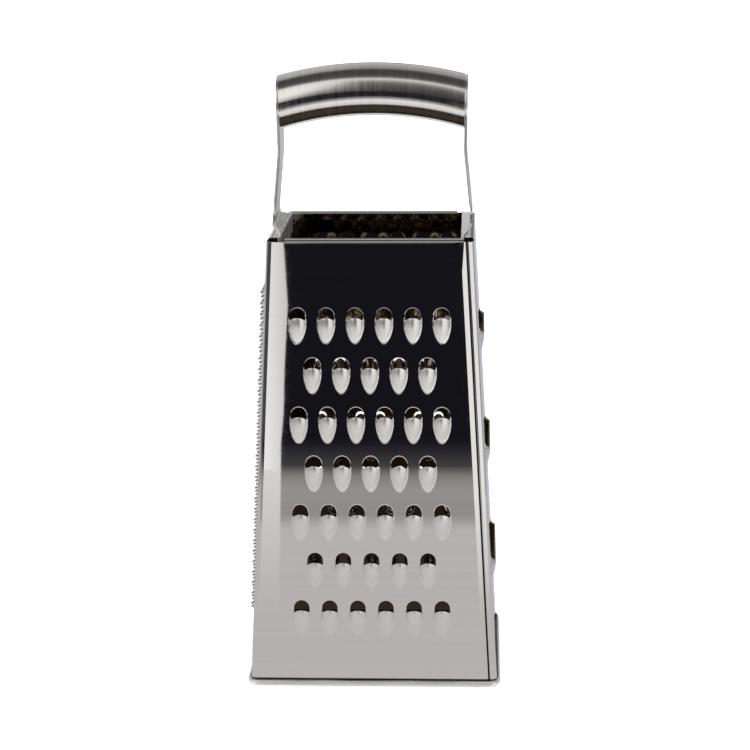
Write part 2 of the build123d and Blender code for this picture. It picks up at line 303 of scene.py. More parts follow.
class ToothShape:
    """A scoop that rises to a bowed lip, with a round-topped hole above it."""

    # Points on the straight sides of the hole, as shares of their height
    SIDE_SHARES = (0.22, 0.6)

    # Flat border of the cell beside, below and above the scoop and its hole
    BORDER_SIDE, BORDER_LOW, BORDER_HIGH = 0.45, 0.6, 0.55

    # The border's lower arc, its upper arc and the points between them
    LOW_ARC_START, LOW_ARC_SWEEP, LOW_ARC_POWER = 0.12, 0.76, 0.9
    HIGH_ARC_FOOT, HIGH_ARC_WIDTH = 0.6, 0.97
    BORDER_LEVELS = (-1.4, -0.2)

    # How the scoop narrows to its foot, falls to its sides and rises to its crest by the lip
    FOOT_POWER, WIDTH_POWER, SIDE_POWER, RISE_POWER = 1.9, 0.62, 2.1, 1.25
    CREST, CREST_DROP = 0.10, 0.045
    FADE_ABOVE_LIP = 0.4

    ROLL_DEPTH, ROLL_START = 0.05, 0.2
    CROWD = 1.25

    def __init__(self, hole_width, hole_height, scoop_width, scoop_length, proud, bow, lean, fineness, rings):
        self.half = scoop_width / 2
        self.length = scoop_length
        self.proud = proud
        self.bow = bow
        self.lean = lean
        self.rings = rings
        self.radius = hole_width / 2
        self.side = hole_height - self.radius
        self.inner = self.hole_edge(fineness)
        self.outer = self.border(fineness, hole_height)

    def hole_edge(self, fineness):
        radius, side = self.radius, self.side
        lip = []
        arc = []
        for k in range(fineness + 1):
            u = -radius + 2 * radius * k / fineness
            lip.append((u, self.lip_height(u)))
            turn = math.pi * k / fineness
            arc.append((radius * math.cos(turn), side + radius * math.sin(turn)))
        right = [(radius, side * share) for share in self.SIDE_SHARES]
        left = [(-radius, side * share) for share in reversed(self.SIDE_SHARES)]
        return lip + right + arc + left

    def border(self, fineness, hole_height):
        reach = self.half + self.BORDER_SIDE
        reach_low = self.length + self.BORDER_LOW
        foot = self.side * self.HIGH_ARC_FOOT
        rise = hole_height + self.BORDER_HIGH - foot
        low = []
        high = []
        for k in range(fineness + 1):
            turn = math.pi * k / fineness
            spread = math.pi * (self.LOW_ARC_START + self.LOW_ARC_SWEEP * k / fineness)
            low.append((-reach * math.cos(spread), -reach_low * math.sin(spread) ** self.LOW_ARC_POWER))
            high.append((reach * math.cos(turn) * self.HIGH_ARC_WIDTH, foot + rise * math.sin(turn)))
        right = [(reach, level) for level in self.BORDER_LEVELS]
        left = [(-reach, level) for level in reversed(self.BORDER_LEVELS)]
        return low + right + high + left

    def lip_height(self, u):
        return self.bow * max(0.0, 1 - (u / self.radius) ** 2)

    def height(self, u, v):
        below = self.lip_height(u) - v
        fade = 1.0
        if below < 0:
            fade = 1 - smooth_step(-below / self.FADE_ABOVE_LIP)
            below = 0.0
        share = below / (self.length + self.lip_height(u))
        if share >= 1 or fade <= 0:
            return 0.0
        half = self.half * (1 - share ** self.FOOT_POWER) ** self.WIDTH_POWER
        across = 1 - abs(u / half) ** self.SIDE_POWER
        if across <= 0:
            return 0.0
        if share > self.CREST:
            turn = math.pi / 2 * (share - self.CREST) / (1 - self.CREST)
            rise = math.cos(turn) ** self.RISE_POWER
        else:
            rise = 1 - self.CREST_DROP * (1 - share / self.CREST) ** 2
        return self.proud * rise * across * fade

    def roll(self, v):
        return self.ROLL_DEPTH * smooth_step((v - self.bow - self.ROLL_START) / self.side)

    def cell(self):
        return ring_cell(self.inner, self.outer, self.rings, self.height, self.lean, self.roll, self.CROWD)


class BladeShape:
    """A long swelling that rises to a cutting edge, with a slot above it."""

    STEPS, END_STEPS, RINGS = 40, 6, 9
    SLOT_CORNER = 1.0
    BORDER = 1.5
    END_OVERLAP = 0.4
    FADE_ABOVE_EDGE = 1.2
    BELLY_POWER = 1.2
    LEAN = 0.1

    def __init__(self, length, gap, proud, fall, ramp):
        self.half = length / 2
        self.proud = proud
        self.fall = fall
        self.ramp = ramp
        corner = self.SLOT_CORNER
        straight = length - 2 * corner
        low = [(-self.half + corner + straight * k / self.STEPS, 0.0) for k in range(self.STEPS + 1)]
        high = [(u, gap) for u, v in reversed(low)]
        right = []
        left = []
        for k in range(1, self.END_STEPS):
            turn = math.pi * k / self.END_STEPS
            right.append((self.half - corner + corner * math.sin(turn), gap / 2 - gap / 2 * math.cos(turn)))
            left.append((-self.half + corner - corner * math.sin(turn), gap / 2 + gap / 2 * math.cos(turn)))
        self.inner = low + right + high + left
        reach = self.half + ramp + self.BORDER
        bottom = -fall - self.BORDER
        top = gap + self.BORDER
        low = [(-reach + 2 * reach * k / self.STEPS, bottom) for k in range(self.STEPS + 1)]
        high = [(u, top) for u, v in reversed(low)]
        right = [(reach, bottom + (top - bottom) * k / self.END_STEPS) for k in range(1, self.END_STEPS)]
        left = [(-reach, top + (bottom - top) * k / self.END_STEPS) for k in range(1, self.END_STEPS)]
        self.outer = low + right + high + left

    def height(self, u, v):
        past_end = abs(u) - self.half
        along = 1 - smooth_step((past_end + self.END_OVERLAP) / (self.ramp + self.END_OVERLAP))
        if v > 0:
            fade = self.FADE_ABOVE_EDGE
            return self.proud * along * (1 - smooth_step(v / fade)) * smooth_step((past_end + fade) / fade)
        share = -v / self.fall
        if share >= 1:
            return 0.0
        belly = math.cos(math.pi / 2 * share) ** self.BELLY_POWER
        return self.proud * along * belly

    def cell(self):
        return ring_cell(self.inner, self.outer, self.RINGS, self.height, self.LEAN)


class BurrShape:
    """A small pierced cone whose torn top stands up in four points."""

    AROUND = 8
    WAIST_DIVISOR, WAIST_LEVEL = 2.1, 0.52
    TIP_LEVEL, POINT_HEIGHT, POINT_SPREAD = 0.78, 0.22, 0.86

    def __init__(self, root, tip, proud):
        waist = (root + tip) / self.WAIST_DIVISOR
        self.points = []
        for radius, level, point in ((root, 0.0, 0.0), (waist, proud * self.WAIST_LEVEL, 0.0),
                                     (tip, proud * self.TIP_LEVEL, proud * self.POINT_HEIGHT)):
            for k in range(self.AROUND):
                turn = 2 * math.pi * k / self.AROUND
                at_point = point and k % 2 == 0
                spread = radius * (self.POINT_SPREAD if at_point else 1.0)
                tall = level + (point if at_point else 0.0)
                self.points.append((spread * math.cos(turn), spread * math.sin(turn), tall))
        self.outer = [(u, v) for u, v, w in self.points[:self.AROUND]]
        self.faces = loop_faces(3, self.AROUND)

    def cell(self):
        return self.points, self.faces


# Nodes, for the pattern, the finishes and the studio

def add_node(tree, kind, inputs=None, **settings):
    """New node with its settings, then its inputs, each a value or another node's output."""
    node = tree.nodes.new(kind)
    for setting, value in settings.items():
        setattr(node, setting, value)
    for socket, value in (inputs or {}).items():
        if isinstance(value, bpy.types.NodeSocket):
            tree.links.new(value, node.inputs[socket])
        else:
            node.inputs[socket].default_value = value
    return node


def math_node(tree, operation, *values):
    return add_node(tree, "ShaderNodeMath", dict(enumerate(values)), operation=operation).outputs[0]


def map_range(tree, value, low, high, to_low=0.0, to_high=1.0, **settings):
    inputs = {"Value": value, "From Min": low, "From Max": high, "To Min": to_low, "To Max": to_high}
    return add_node(tree, "ShaderNodeMapRange", inputs, **settings).outputs["Result"]


def mix_number(tree, share, low, high):
    return add_node(tree, "ShaderNodeMix", {"Factor": share, "A": low, "B": high}).outputs["Result"]


def mix_colour(tree, share, low, high):
    inputs = {"Factor": share, "A": low, "B": high}
    return add_node(tree, "ShaderNodeMix", inputs, data_type="RGBA").outputs["Result"]


def separate(tree, vector):
    return add_node(tree, "ShaderNodeSeparateXYZ", {0: vector}).outputs


# The pattern of places on which one pierced shape repeats

def places_of(pattern, middle):
    """Places of the pattern on its wall, where the flat plate leaves room for the shape."""
    columns, rows = pattern["Columns"], pattern["Rows"]
    places = []
    for row in range(rows):
        odd_row = row % 2
        for column in range(columns - (odd_row if pattern["Drop Last In Odd Rows"] else 0)):
            u = (column - (columns - 1) / 2) * pattern["Column Pitch"] + odd_row * pattern["Row Shift"]
            v = ((rows - 1) / 2 - row) * pattern["Row Pitch"] - column % 2 * pattern["Column Shift"]
            places.append((middle[0] + u, middle[1] + v))
    return places


def pattern_tree():
    """Stands one shape on a grid of places, with every other row or column set off."""
    tree = bpy.data.node_groups.new("staggered pattern", "GeometryNodeTree")
    tree.interface.new_socket("Geometry", in_out="OUTPUT", socket_type="NodeSocketGeometry")
    for name, kind in (("Shape", "Object"), ("Columns", "Int"), ("Rows", "Int"),
                       ("Column Pitch", "Float"), ("Row Pitch", "Float"),
                       ("Row Shift", "Float"), ("Column Shift", "Float"),
                       ("Drop Last In Odd Rows", "Bool"), ("Material", "Material")):
        tree.interface.new_socket(name, in_out="INPUT", socket_type="NodeSocket" + kind)
    given = tree.nodes.new("NodeGroupInput").outputs

    def calculate(operation, *values):
        return math_node(tree, operation, *values)

    last_column = calculate("SUBTRACT", given["Columns"], 1)
    last_row = calculate("SUBTRACT", given["Rows"], 1)
    size_x = calculate("MULTIPLY", last_column, given["Column Pitch"])
    size_y = calculate("MULTIPLY", last_row, given["Row Pitch"])
    grid = add_node(tree, "GeometryNodeMeshGrid", {"Size X": size_x, "Vertices X": given["Columns"],
                                                   "Size Y": size_y, "Vertices Y": given["Rows"]})
    place = separate(tree, tree.nodes.new("GeometryNodeInputPosition").outputs[0])
    from_left = calculate("ADD", place["X"], calculate("MULTIPLY", size_x, 0.5))
    from_top = calculate("SUBTRACT", calculate("MULTIPLY", size_y, 0.5), place["Y"])
    column = calculate("ROUND", calculate("DIVIDE", from_left, given["Column Pitch"]))
    row = calculate("ROUND", calculate("DIVIDE", from_top, given["Row Pitch"]))
    odd_row = calculate("FLOORED_MODULO", row, 2.0)
    odd_column = calculate("FLOORED_MODULO", column, 2.0)
    last_in_odd_row = calculate("MULTIPLY", calculate("COMPARE", column, last_column), odd_row)
    surplus = calculate("MULTIPLY", last_in_odd_row, given["Drop Last In Odd Rows"])
    shift_x = calculate("MULTIPLY", odd_row, given["Row Shift"])
    shift_y = calculate("MULTIPLY", calculate("MULTIPLY", odd_column, given["Column Shift"]), -1.0)
    shift = add_node(tree, "ShaderNodeCombineXYZ", {0: shift_x, 1: shift_y})

    points = add_node(tree, "GeometryNodeMeshToPoints", {"Mesh": grid.outputs["Mesh"]})
    kept = add_node(tree, "GeometryNodeDeleteGeometry", {"Geometry": points.outputs[0],
                                                         "Selection": surplus}, domain="POINT")
    moved = add_node(tree, "GeometryNodeSetPosition", {"Geometry": kept.outputs[0],
                                                       "Offset": shift.outputs[0]})
    shape = add_node(tree, "GeometryNodeObjectInfo", {"Object": given["Shape"]})
    stood = add_node(tree, "GeometryNodeInstanceOnPoints", {"Points": moved.outputs[0],
                                                            "Instance": shape.outputs["Geometry"]})
    real = add_node(tree, "GeometryNodeRealizeInstances", {0: stood.outputs[0]})
    painted = add_node(tree, "GeometryNodeSetMaterial", {"Geometry": real.outputs[0],
                                                         "Material": given["Material"]})
    add_node(tree, "NodeGroupOutput", {0: painted.outputs[0]})
    return tree


def repeat_on_wall(skin, wall, tree, shape, pattern, middle, material):
    """Adds the shape to the skin at every place of the pattern, on that wall."""
    points, faces = shape.cell()
    sample = bpy.data.meshes.new("one shape")
    sample.from_pydata(points, [], faces)
    holder = bpy.data.objects.new("one shape", sample)
    carrier = bpy.data.objects.new("pattern", bpy.data.meshes.new("pattern"))
    for thing in (holder, carrier):
        bpy.context.scene.collection.objects.link(thing)
    modifier = carrier.modifiers.new("pattern", "NODES")
    modifier.node_group = tree
    values = {**pattern, "Shape": holder, "Material": material}
    for item in tree.interface.items_tree:
        if item.in_out == "INPUT" and item.name in values:
            modifier[item.identifier] = values[item.name]
    depsgraph = bpy.context.evaluated_depsgraph_get()
    mesh = bpy.data.meshes.new_from_object(carrier.evaluated_get(depsgraph), depsgraph=depsgraph)
    placed = [wall.place(middle[0] + v.co.x, middle[1] + v.co.y, v.co.z) for v in mesh.vertices]
    skin.add(placed, [tuple(p.vertices) for p in mesh.polygons])
    for thing in (carrier, holder):
        bpy.data.objects.remove(thing)
    bpy.data.meshes.remove(mesh)


# Flat plates with holes

CUT_TOLERANCE = 1e-5


def inside(point, loop):
    hit = False
    x, y = point
    for (x1, y1), (x2, y2) in zip(loop, loop[1:] + loop[:1]):
        if (y1 > y) != (y2 > y) and x < (x2 - x1) * (y - y1) / (y2 - y1) + x1:
            hit = not hit
    return hit


def add_plate(skin, wall, outline, holes):
    """Flat part of a wall inside its outline, less the holes, all in the wall's own coordinates."""
    points = []
    edges = []
    owner = []
    for number, loop in enumerate([outline] + holes):
        start = len(points)
        points += [Vector(p) for p in loop]
        owner += [number] * len(loop)
        edges += [(start + k, start + (k + 1) % len(loop)) for k in range(len(loop))]
    verts, _, faces, origins, _, _ = delaunay_2d_cdt(points, edges, [], 0, CUT_TOLERANCE)
    loop_of = [owner[o[0]] if o else -1 for o in origins]
    kept = []
    for face in faces:
        owners = {loop_of[i] for i in face}
        if len(owners) == 1:
            if owners.pop() > 0:
                continue
            middle = sum((verts[i] for i in face), Vector((0, 0))) / len(face)
            if not inside(tuple(middle), outline):
                continue
        a, b, c = (verts[i] for i in face[:3])
        if (b - a).cross(c - a) < 0:
            face = list(reversed(face))
        kept.append(face)
    skin.add([wall.place(p.x, p.y) for p in verts], kept)


def shifted(loop, place):
    return [(u + place[0], v + place[1]) for u, v in loop]


# Levels at which bends and plates share their corners

LEVEL_COUNT = 14
LEVELS = [FOOT_HEIGHT + (RAW_EDGE_HEIGHT - FOOT_HEIGHT) * k / LEVEL_COUNT for k in range(LEVEL_COUNT + 1)]
MARGIN = CORNER_RADIUS + FLAT_BY_BEND
HAIR_SWELLING = 0.012
EDGE_STEPS = 8
BEND_STEPS = 8
MOUTH_BEND_STEPS = 5
FLAT_STRIP = 0.3


def bend_start(wall):
    """Slope height just under the ledge's bend, where the flat plate ends."""
    centre_z = BODY_HEIGHT - LEDGE_BEND_RADIUS
    return wall.slope_at(centre_z, -LEDGE_BEND_RADIUS) - FLAT_BY_BEND


def ledge_ends(wall):
    """How far along the wall its ledge reaches: (low u, high u)."""
    half = wall.half_length(BODY_HEIGHT)
    if wall.front_or_back:
        return -half + NOTCH_AT_BEND, half - NOTCH_AT_SEAM
    return -half + NOTCH_AT_SIDE, half - NOTCH_AT_SIDE


def ledge_stations(low_u, high_u):
    return [low_u + (high_u - low_u) * k / EDGE_STEPS for k in range(EDGE_STEPS + 1)]


def hair(z):
    """Swelling far below a hair's width, which keeps the points of a straight side off one line."""
    share = (z - LEVELS[0]) / (LEVELS[-1] - LEVELS[0])
    return HAIR_SWELLING * share * (1 - share)


def plate_outline(wall, low_margin, high_margin):
    low_u, high_u = ledge_ends(wall)
    half = wall.half_length(LEVELS[0])
    width = 2 * half - low_margin - high_margin
    bottom = wall.slope_at(LEVELS[0])
    top = wall.slope_at(LEVELS[-1])
    start = bend_start(wall)
    foot = [(-half + low_margin + width * k / EDGE_STEPS, bottom) for k in range(1, EDGE_STEPS)]
    high_side = [(wall.half_length(z) - high_margin + hair(z), wall.slope_at(z)) for z in LEVELS]
    low_side = [(-wall.half_length(z) + low_margin - hair(z), wall.slope_at(z)) for z in reversed(LEVELS)]
    ledge = [(high_u, top), (high_u, start)]
    ledge += [(u, start) for u in ledge_stations(low_u, high_u)[-2:0:-1]]
    ledge += [(low_u, start), (low_u, top)]
    return foot + high_side + ledge + low_side


def ledge_profile(wall, mouth):
    """Section of a wall's top edge, from the flat plate over the bend and the ledge down the lip."""
    r = LEDGE_BEND_RADIUS
    centre_z = BODY_HEIGHT - r
    depth = wall.place(0, wall.slope_at(centre_z, -r), -r).dot(wall.level)
    tilt = math.asin(wall.out.z)
    flat = wall.place(0, bend_start(wall))
    profile = [(flat.dot(wall.level), flat.z)]
    for k in range(BEND_STEPS + 1):
        turn = tilt + (math.pi / 2 - tilt) * k / BEND_STEPS
        profile.append((depth + r * math.cos(turn), centre_z + r * math.sin(turn)))
    r = MOUTH_BEND_RADIUS
    profile.append((profile[-1][0] - FLAT_STRIP, BODY_HEIGHT))
    profile.append((mouth + r + FLAT_STRIP, BODY_HEIGHT))
    for k in range(MOUTH_BEND_STEPS + 1):
        turn = math.pi / 2 * k / MOUTH_BEND_STEPS
        profile.append((mouth + r - r * math.sin(turn), BODY_HEIGHT - r + r * math.cos(turn)))
    profile.append((mouth, BODY_HEIGHT - r - FLAT_STRIP))
    profile.append((mouth, BODY_HEIGHT - LIP_HEIGHT))
    return profile


def add_ledge(skin, name):
    """Top edge of a wall: bent in to a narrow ledge, then down to a short lip."""
    wall = WALLS[name]
    mouth = wall.head / 2 - LEDGE_WIDTH
    stations = ledge_stations(*ledge_ends(wall))
    rows = []
    for depth, z in ledge_profile(wall, mouth):
        rows.append([wall.level * depth + wall.across * u + Vector((0, 0, z)) for u in stations])

    def outward(point):
        """Up on the ledge, out on the wall's side of it and in on the lip's side."""
        if point.z > BODY_HEIGHT - 1:
            return Vector((0, 0, 1))
        return wall.level if point.dot(wall.level) > mouth + 2 else -wall.level

    skin.add_grid(rows, outward)


def corner_column(a, b, z):
    """Points round one upright bend at height z, from wall a onto wall b.

    A bend that starts on the front or back wall begins with the edge of the flap that covers the seam.
    """
    r = CORNER_RADIUS
    centre = a.level * (a.distance_out(z) - r) + b.level * (b.distance_out(z) - r)
    centre.z = z
    points = []
    if a.front_or_back:
        flap = SEAM_FROM_CORNER - r
        for back, turned_in in FLAP_EDGE:
            points.append(centre + a.level * (r - turned_in) - b.level * (flap - back))
    points.append(centre + a.level * r - b.level * FLAT_BY_BEND)
    for k in range(BEND_STEPS + 1):
        turn = math.pi / 2 * k / BEND_STEPS
        points.append(centre + a.level * r * math.cos(turn) + b.level * r * math.sin(turn))
    points.append(centre + b.level * r - a.level * FLAT_BY_BEND)
    return points


def add_corner(skin, first, second):
    a, b = WALLS[first], WALLS[second]
    skin.add_grid([corner_column(a, b, z) for z in LEVELS], a.level + b.level)


def add_tongue(skin, name):
    """Edge of a sheet that steps in and runs on under the other sheet's flap at the seam."""
    wall = WALLS[name]
    rows = []
    for z in LEVELS:
        v = wall.slope_at(z)
        rows.append([wall.place(wall.half_length(z) - back, v, w) for back, w in TONGUE_PROFILE])
    skin.add_grid(rows, wall.level)


# Finishes

ROUGHNESS_SPREAD = 0.35
ROUGHNESS_NOISE = (0.3, 0.7)
TINT_NOISE = (0.32, 0.68)
WAVE_SCALE = 22.0
# Painted shade in the seam's narrow gap
PAINTED_SEAM_SHADE = (0.02, 0.02, 0.03, 1)
# Painted shade: a dark line along the walls just over the rim, where the crevice lies in shadow
RIM_SHADE_TONE = (0.05, 0.05, 0.06, 1)
RIM_SHADE_HEIGHTS = (RIM_HEIGHT + 0.75, RIM_HEIGHT + 0.5)


def mark(tree, name):
    return add_node(tree, "ShaderNodeAttribute", attribute_name=name).outputs["Fac"]


def noise(tree, place, scale, detail):
    inputs = {"Vector": place, "Scale": scale, "Detail": detail}
    return add_node(tree, "ShaderNodeTexNoise", inputs).outputs["Fac"]


def bump(tree, height, depth, **more):
    inputs = {"Strength": 1.0, "Distance": depth * MM, "Height": height, **more}
    return add_node(tree, "ShaderNodeBump", inputs).outputs["Normal"]


def metal(name, colour, roughness, grain, grain_depth, wave_depth, contrast=0.08, pressed=None, inside=None):
    """Steel with a fine grain, stretched by the noise's scale along each axis, and faint waves.

    pressed is the roughness of a sheet where it is pressed out of its wall. inside is the tone of painted
    shade on its inner skin, and then its seam's gap and a line over the rim get a dark painted shade too.
    """
    finish = bpy.data.materials.new(name)
    finish.use_nodes = True
    tree = finish.node_tree
    shader = tree.nodes["Principled BSDF"]
    shader.inputs["Metallic"].default_value = 1.0
    place = add_node(tree, "ShaderNodeTexCoord").outputs["Object"]
    stretched = add_node(tree, "ShaderNodeMapping", {"Vector": place, "Scale": grain}).outputs["Vector"]
    fine = noise(tree, stretched, 1.0, 3.0)
    least, most = roughness * (1 - ROUGHNESS_SPREAD), roughness * (1 + ROUGHNESS_SPREAD)
    level = map_range(tree, fine, *ROUGHNESS_NOISE, least, most)
    if pressed:
        level = mix_number(tree, mark(tree, "pressed_out"), level, pressed)
    darker = [c * (1 - contrast) for c in colour]
    shade = mix_colour(tree, map_range(tree, fine, *TINT_NOISE), (*darker, 1), (*colour, 1))
    if inside:
        # painted shade: the inner skin darker and warmer than the outer steel
        shade = mix_colour(tree, mark(tree, "inner_skin"), shade, (*inside, 1))
        # painted shade in the seam's gap beside the flap
        shade = mix_colour(tree, mark(tree, "seam_gap"), shade, PAINTED_SEAM_SHADE)
        # painted shade: a dark line on the walls just over the rim
        clear, dark = RIM_SHADE_HEIGHTS
        shade_over_rim = map_range(tree, separate(tree, place)["Z"], clear * MM, dark * MM)
        shade = mix_colour(tree, shade_over_rim, shade, RIM_SHADE_TONE)
    waves = bump(tree, noise(tree, place, WAVE_SCALE, 1.0), wave_depth)
    lines = bump(tree, fine, grain_depth, Normal=waves)
    for socket, value in (("Roughness", level), ("Base Color", shade), ("Normal", lines)):
        tree.links.new(value, shader.inputs[socket])
    return finish


# inside: tone of the inner skin, painted shade of the grater's inside
POLISHED = metal("polished sheet steel", (0.77, 0.76, 0.75), roughness=0.035, grain=(12, 12, 700),
                 grain_depth=0.0002, wave_depth=0.006, contrast=0.03, pressed=0.3, inside=(0.55, 0.49, 0.41))
RIM_FINISH = metal("rolled rim steel", (0.70, 0.70, 0.69), roughness=0.34, grain=(60, 60, 900),
                   grain_depth=0.002, wave_depth=0.01)
STRAP_FINISH = metal("strap steel", (0.82, 0.82, 0.81), roughness=0.3, grain=(500, 500, 25),
                     grain_depth=0.001, wave_depth=0.004)
GRIP_FINISH = metal("turned grip steel", (0.80, 0.785, 0.77), roughness=0.13, grain=(2600, 6, 6),
                    grain_depth=0.0010, wave_depth=0.003, contrast=0.12)


def wear(thing, finish, slot, *nodes):
    thing.data.materials.clear()
    thing.data.materials.append(finish)
    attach(thing, "root")
    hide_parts(*nodes)


# The two sheets

PATTERN_TREE = pattern_tree()

COARSE = ToothShape(hole_width=6.6, hole_height=5.5, scoop_width=7.5, scoop_length=9.7,
                    proud=2.1, bow=0.9, lean=0.35, fineness=18, rings=14)
MEDIUM = ToothShape(hole_width=4.4, hole_height=3.3, scoop_width=5.8, scoop_length=6.8,
                    proud=1.5, bow=0.5, lean=1.0, fineness=8, rings=7)
BURR = BurrShape(root=1.15, tip=0.5, proud=2.1)

COARSE_STEP, COARSE_ROW = 11.93, 20.98
MEDIUM_STEP, MEDIUM_ROW = 8.8, 13.0
BURR_STEP, BURR_ROW = 2.7, 4.7

COARSE_PATTERN = {"Columns": 6, "Rows": 7, "Column Pitch": COARSE_STEP, "Row Pitch": COARSE_ROW,
                  "Row Shift": COARSE_STEP / 2, "Column Shift": 0.0, "Drop Last In Odd Rows": True}
MEDIUM_PATTERN = {"Columns": 8, "Rows": 11, "Column Pitch": MEDIUM_STEP, "Row Pitch": MEDIUM_ROW,
                  "Row Shift": MEDIUM_STEP / 2, "Column Shift": 0.0, "Drop Last In Odd Rows": True}
BURR_PATTERN = {"Columns": 25, "Rows": 30, "Column Pitch": BURR_STEP, "Row Pitch": BURR_ROW,
                "Row Shift": 0.0, "Column Shift": BURR_ROW / 2, "Drop Last In Odd Rows": False}

# Middle of each pattern on its wall, counted down from its top row
COARSE_MIDDLE = (-0.5, 158.1 - 3 * COARSE_ROW)
MEDIUM_MIDDLE = (0.0, 161.0 - 5 * MEDIUM_ROW)
BURR_MIDDLE = (0.0, 169.3 - 14.5 * BURR_ROW)

BLADE_COUNT = 3
SHORTEST_BLADE, BLADE_GROWTH = 39.0, 6.0
TOP_BLADE_HEIGHT, BLADE_PITCH = 149.3, 49.4


def pierced_wall(skin, name, shape, pattern, middle, low_margin, high_margin):
    wall = WALLS[name]
    holes = [shifted(shape.outer, place) for place in places_of(pattern, middle)]
    add_plate(skin, wall, plate_outline(wall, low_margin, high_margin), holes)
    repeat_on_wall(skin, wall, PATTERN_TREE, shape, pattern, middle, POLISHED)


def bladed_wall(skin, name):
    wall = WALLS[name]
    holes = []
    for number in range(BLADE_COUNT):
        length = SHORTEST_BLADE + BLADE_GROWTH * number
        shape = BladeShape(length, gap=3.6, proud=2.1, fall=9.0, ramp=4.0)
        place = (0.0, TOP_BLADE_HEIGHT - BLADE_PITCH * number)
        holes.append(shifted(shape.outer, place))
        points, faces = shape.cell()
        skin.add([wall.place(u, v + place[1], w) for u, v, w in points], faces)
    add_plate(skin, wall, plate_outline(wall, MARGIN, MARGIN), holes)


def finish_sheet(skin, name, walls, seam_wall, node):
    """Turns the gathered skin into a sheet of steel that shows in place of its CAD node."""
    sheet = new_mesh_object(name, skin.points, skin.faces)
    thicken(sheet, SHEET_THICKNESS)
    mark_pressed(sheet, walls)
    mark_seam_shade(sheet, seam_wall)
    smooth_surfaces(sheet, 40)
    wear(sheet, POLISHED, "sheet_steel", node)


def coarse_and_fine_sheet():
    skin = Skin()
    pierced_wall(skin, "front", COARSE, COARSE_PATTERN, COARSE_MIDDLE, MARGIN, TONGUE_START)
    add_tongue(skin, "front")
    pierced_wall(skin, "left", BURR, BURR_PATTERN, BURR_MIDDLE, MARGIN, MARGIN)
    add_corner(skin, "left", "front")
    add_corner(skin, "back", "left")
    add_ledge(skin, "front")
    add_ledge(skin, "left")
    finish_sheet(skin, "coarse_and_fine_walls", ("front", "left"), "front", "coarse_and_fine_sheet")


def slicing_and_medium_sheet():
    skin = Skin()
    bladed_wall(skin, "right")
    pierced_wall(skin, "back", MEDIUM, MEDIUM_PATTERN, MEDIUM_MIDDLE, MARGIN, TONGUE_START)
    add_tongue(skin, "back")
    add_corner(skin, "front", "right")
    add_corner(skin, "right", "back")
    add_ledge(skin, "right")
    add_ledge(skin, "back")
    finish_sheet(skin, "slicing_and_medium_walls", ("right", "back"), "back", "slicing_and_medium_sheet")


# Rim

def rounded_plan(offset, z):
    """Loop of points round the foot, that far outside the body's outline at the floor."""
    x = BASE_WIDTH / 2 + offset
    y = BASE_DEPTH / 2 + offset
    r = max(RIM_CORNER_RADIUS + offset - RIM_PROUD, SMALLEST_RIM_CORNER)
    loop = []
    for side_x, side_y, start in ((1, -1, -90), (1, 1, 0), (-1, 1, 90), (-1, -1, 180)):
        centre_x, centre_y = side_x * (x - r), side_y * (y - r)
        for k in range(BEND_STEPS + 1):
            turn = math.radians(start + 90 * k / BEND_STEPS)
            loop.append(Vector((centre_x + r * math.cos(turn), centre_y + r * math.sin(turn), z)))
    return loop


def base_rim():
    """Strip crimped over the foot: rounded outside, with the groove in which the walls stand."""
    r = RIM_ROUNDING
    steps = 6
    profile = []
    for centre_z, start in ((r, -90), (RIM_HEIGHT - r, 0)):
        for k in range(steps + 1):
            turn = math.radians(start + 90 * k / steps)
            profile.append((RIM_PROUD - r + r * math.cos(turn), centre_z + r * math.sin(turn)))
    profile += [(0.42, RIM_HEIGHT - 0.02), (0.36, RIM_HEIGHT - 0.3), (0.1, RIM_HEIGHT - 0.5), (0.1, 0.8),
                (-0.6, 0.8), (-0.6, RIM_HEIGHT), (-1.3, RIM_HEIGHT), (-1.6, RIM_HEIGHT - 0.3), (-1.6, 0.3),
                (-1.3, 0.0)]
    loops = [rounded_plan(offset, z) for offset, z in profile]
    points = [p for loop in loops for p in loop]
    rim = new_mesh_object("crimped_base_rim", points, loop_faces(len(loops), len(loops[0]), closed=True))
    smooth_surfaces(rim, 50)
    wear(rim, RIM_FINISH, "rim_steel", "base_rim")


# Straps and grip

def fillet_path(corners, radii, steps):
    """Points along a path whose inner corners are rounded, in two coordinates."""
    path = [Vector(corners[0])]
    for before, corner, after, radius in zip(corners, corners[1:], corners[2:], radii):
        a = (Vector(before) - Vector(corner)).normalized()
        b = (Vector(after) - Vector(corner)).normalized()
        half = a.angle(b) / 2
        reach = radius / math.tan(half)
        centre = Vector(corner) + (a + b).normalized() * radius / math.sin(half)
        start = Vector(corner) + a * reach
        end = Vector(corner) + b * reach
        sweep = math.pi - 2 * half
        first = start - centre
        sign = 1 if first.cross(end - centre) > 0 else -1
        for k in range(steps + 1):
            turn = sign * sweep * k / steps
            c, s = math.cos(turn), math.sin(turn)
            path.append(centre + Vector((first.x * c - first.y * s, first.x * s + first.y * c)))
    path.append(Vector(corners[-1]))
    return path


def denser(path, longest):
    made = [path[0]]
    for a, b in zip(path, path[1:]):
        pieces = max(1, math.ceil((b - a).length / longest))
        made += [a + (b - a) * k / pieces for k in range(1, pieces + 1)]
    return made


